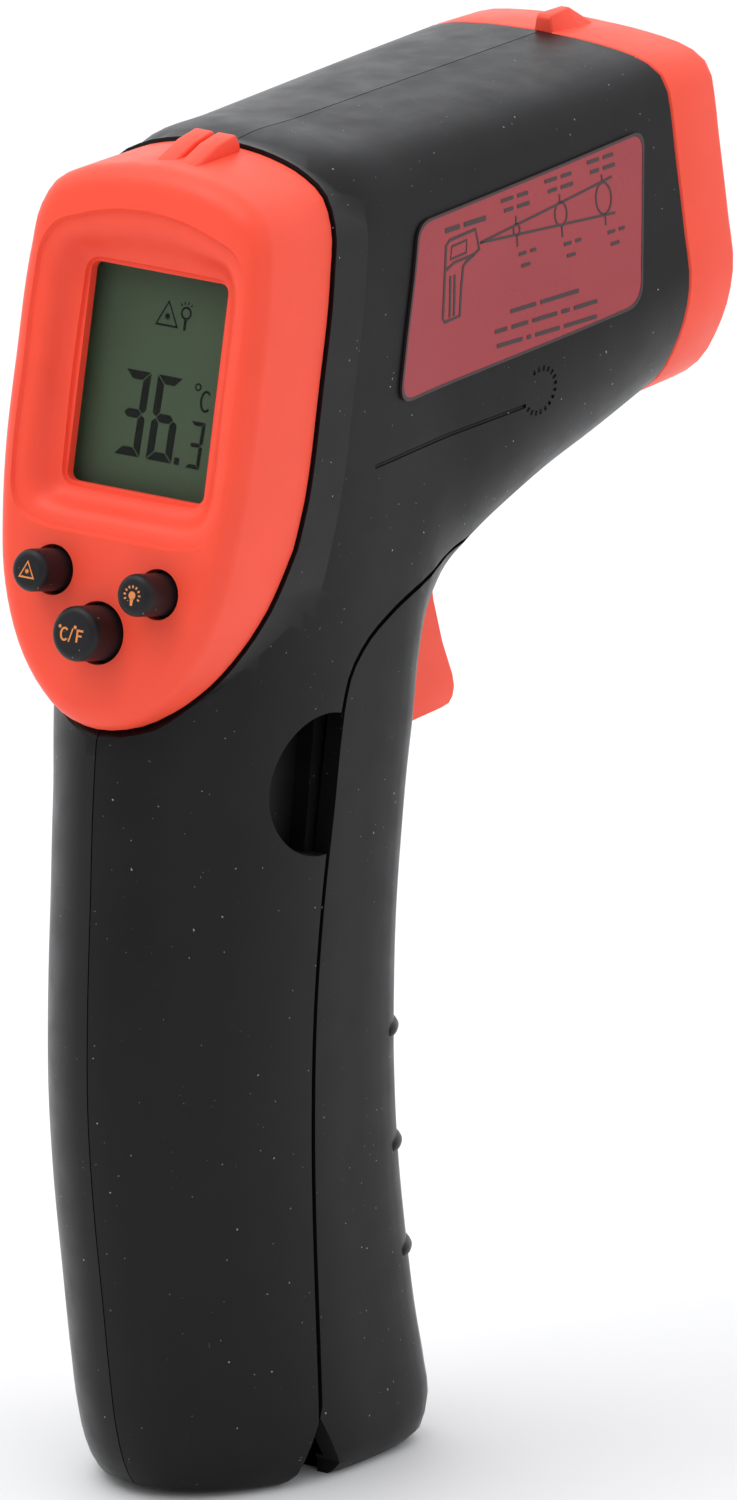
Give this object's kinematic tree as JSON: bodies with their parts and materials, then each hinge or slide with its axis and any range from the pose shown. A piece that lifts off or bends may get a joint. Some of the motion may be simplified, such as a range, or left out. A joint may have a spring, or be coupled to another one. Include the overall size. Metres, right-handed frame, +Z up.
{
  "type": "infrared thermometer",
  "caption": "Pistol-shaped non-contact thermometer with a tilted display, push buttons, a trigger, a round infrared opening in the nose and a hinged battery door down the front of the handle.",
  "frame": {"origin": "on the ground under the middle of the object, which stands on the flat base of its handle", "axes": "+X is the object's right side, +Y is the way the nose points, +Z is up; the display faces -Y"},
  "size_m": [0.0412, 0.0998, 0.1549],
  "materials": {
    "coral_plastic": "satin moulded",
    "black_plastic": "fine textured moulded",
    "button_black": "satin",
    "label_film": "printed film",
    "clear_window": "clear",
    "lcd_glass": "smooth",
    "white_plastic": "satin",
    "circuit_board": "lacquered",
    "plated_steel": "plated",
    "brass": "turned",
    "conductive_rubber": "matt",
    "infrared_lens": "moulded lens",
    "cell_jacket": "printed sleeve",
    "red_wire": "extruded",
    "black_wire": "extruded"
  },
  "bodies": {
    "housing": {"housing_right": "black_plastic", "housing_left": "black_plastic", "hinge_pin": "plated_steel", "display_bezel": "coral_plastic", "display_window": "clear_window", "lcd_panel": "lcd_glass", "backlight_panel": "white_plastic", "zebra_connector": "conductive_rubber", "lcd_frame": "white_plastic", "main_board": "circuit_board", "control_chip": "conductive_rubber", "buzzer": "conductive_rubber", "laser_switch": "plated_steel", "backlight_switch": "plated_steel", "unit_switch": "plated_steel", "nose_bezel": "coral_plastic", "nose_plate": "black_plastic", "lens_barrel": "black_plastic", "ir_lens": "infrared_lens", "thermopile_sensor": "plated_steel", "sensor_board": "circuit_board", "laser_module": "brass", "laser_bracket": "black_plastic", "trigger_pin": "plated_steel", "trigger_board": "circuit_board", "trigger_switch": "button_black", "trigger_spring": "plated_steel", "battery_tray": "black_plastic", "battery_1": "cell_jacket", "battery_2": "cell_jacket", "battery_spring_right": "plated_steel", "battery_spring_left": "plated_steel", "link_plate": "plated_steel", "contact_plus": "plated_steel", "contact_minus": "plated_steel", "battery_lead_red": "red_wire", "battery_lead_black": "black_wire", "laser_lead": "red_wire", "sensor_cable": "white_plastic", "side_label_right": "label_film", "side_label_left": "label_film", "housing_screw_1": "plated_steel", "housing_screw_2": "plated_steel", "housing_screw_3": "plated_steel", "housing_screw_4": "plated_steel", "housing_screw_5": "plated_steel", "housing_screw_6": "plated_steel"},
    "battery_door": {"battery_door": "black_plastic"},
    "trigger": {"trigger": "coral_plastic"},
    "laser_button": {"laser_button": "button_black"},
    "backlight_button": {"backlight_button": "button_black"},
    "unit_button": {"unit_button": "button_black"}
  },
  "joints": [
    {"name": "door_hinge", "type": "hinge", "parent": "housing", "child": "battery_door", "pos_m": [0, -0.01878, 0.0045], "axis": [-1, 0, 0], "range_deg": [0, 75]},
    {"name": "trigger_pivot", "type": "hinge", "parent": "housing", "child": "trigger", "pos_m": [0, 0.00322, 0.1073], "axis": [-1, 0, 0], "range_deg": [0, 6], "stiffness_Nm_per_rad": 0.15, "springref_deg": -20.05, "deforming": ["trigger_spring"]},
    {"name": "laser_press", "type": "slide", "parent": "housing", "child": "laser_button", "axis": [0, 0.9789, -0.2045], "range_m": [0, 0.0006], "stiffness_N_per_m": 250, "springref_m": -0.003},
    {"name": "backlight_press", "type": "slide", "parent": "housing", "child": "backlight_button", "axis": [0, 0.9789, -0.2045], "range_m": [0, 0.0006], "stiffness_N_per_m": 250, "springref_m": -0.003},
    {"name": "unit_press", "type": "slide", "parent": "housing", "child": "unit_button", "axis": [0, 0.9789, -0.2045], "range_m": [0, 0.0006], "stiffness_N_per_m": 250, "springref_m": -0.003}
  ]
}
